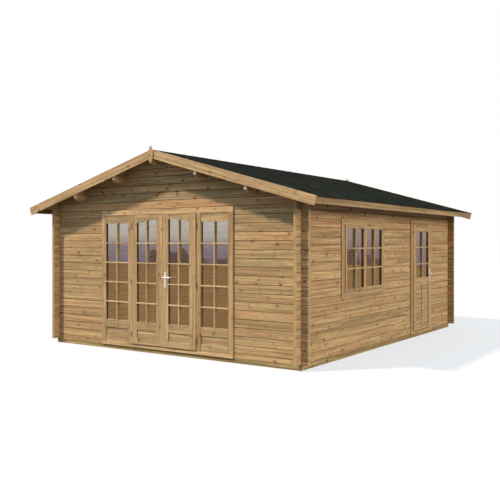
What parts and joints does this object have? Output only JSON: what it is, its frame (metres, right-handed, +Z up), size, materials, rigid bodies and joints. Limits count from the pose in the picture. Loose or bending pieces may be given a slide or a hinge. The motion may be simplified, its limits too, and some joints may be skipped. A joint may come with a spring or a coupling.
{
  "type": "log garden house",
  "caption": "Garden house of stacked planed logs with crossed corners, a low gable roof, glazed double doors, a side window and a glazed side door.",
  "frame": {"origin": "on the ground under the middle of the house", "axes": "+Z up, the front gable with the double doors faces -Y, the wall with the window and the side door faces +X"},
  "size_m": [5.209, 6.04, 2.9206],
  "materials": {
    "log_timber": "planed spruce logs, brown pressure treatment",
    "foundation_timber": "rough sawn treated beams",
    "floor_timber": "planed tongued floor boards",
    "roof_timber": "planed treated roof boards and purlins",
    "trim_timber": "planed treated boards",
    "bitumen_shingle": "charcoal bitumen shingles with mineral grit",
    "frame_timber": "planed treated joinery",
    "door_timber": "planed treated joinery",
    "pane_glass": "clear float glass",
    "hinge_steel": "zinc plated steel",
    "handle_chrome": "polished chrome plate"
  },
  "bodies": {
    "house": {"front_wall_left": "log_timber", "front_wall_right": "log_timber", "front_gable": "log_timber", "back_wall": "log_timber", "left_wall": "log_timber", "right_wall_front": "log_timber", "right_wall_middle": "log_timber", "right_wall_rear": "log_timber", "right_wall_under_window": "log_timber", "right_wall_top": "log_timber", "end_foundation_beams": "foundation_timber", "side_foundation_beams": "foundation_timber", "floor_joists": "foundation_timber", "floor_boards": "floor_timber", "ridge_purlin": "roof_timber", "side_purlins": "roof_timber", "roof_boards_left": "roof_timber", "roof_boards_right": "roof_timber", "front_bargeboards": "trim_timber", "back_bargeboards": "trim_timber", "eave_boards": "trim_timber", "finials": "trim_timber", "roofing_left": "bitumen_shingle", "roofing_right": "bitumen_shingle", "ridge_cap": "bitumen_shingle", "front_frame_uprights": "frame_timber", "front_frame_head": "frame_timber", "front_threshold": "frame_timber", "fixed_panels": "frame_timber", "window_frame": "frame_timber", "window_sashes": "frame_timber", "side_frame_uprights": "frame_timber", "side_frame_head": "frame_timber", "side_threshold": "frame_timber", "fixed_glass": "pane_glass", "window_glass": "pane_glass", "hinge_pins": "hinge_steel"},
    "left_leaf": {"left_door_leaf": "door_timber", "left_door_glass": "pane_glass", "left_door_hinges": "hinge_steel"},
    "right_leaf": {"right_door_leaf": "door_timber", "right_door_glass": "pane_glass", "right_door_hinges": "hinge_steel", "right_door_plates": "handle_chrome"},
    "right_lever": {"right_door_lever": "handle_chrome"},
    "side_leaf": {"side_door_leaf": "door_timber", "side_door_glass": "pane_glass", "side_door_hinges": "hinge_steel", "side_door_plates": "handle_chrome"},
    "side_lever": {"side_door_lever": "handle_chrome"}
  },
  "joints": [
    {"name": "left_door", "type": "hinge", "parent": "house", "child": "left_leaf", "pos_m": [-0.6005, -2.778, 1], "axis": [0, 0, -1], "range_deg": [0, 110]},
    {"name": "right_door", "type": "hinge", "parent": "house", "child": "right_leaf", "pos_m": [0.6005, -2.778, 1], "axis": [0, 0, 1], "range_deg": [0, 110]},
    {"name": "right_door_lever_turn", "type": "hinge", "parent": "right_leaf", "child": "right_lever", "pos_m": [0.0545, -2.75, 1.093], "axis": [0, 1, 0], "range_deg": [0, 40], "stiffness_Nm_per_rad": 2, "springref_deg": -20.05},
    {"name": "side_door", "type": "hinge", "parent": "house", "child": "side_leaf", "pos_m": [2.278, 0.9015, 1], "axis": [0, 0, -1], "range_deg": [0, 110]},
    {"name": "side_door_lever_turn", "type": "hinge", "parent": "side_leaf", "child": "side_lever", "pos_m": [2.25, 1.648, 1.045], "axis": [1, 0, 0], "range_deg": [0, 40], "stiffness_Nm_per_rad": 2, "springref_deg": -20.05}
  ]
}
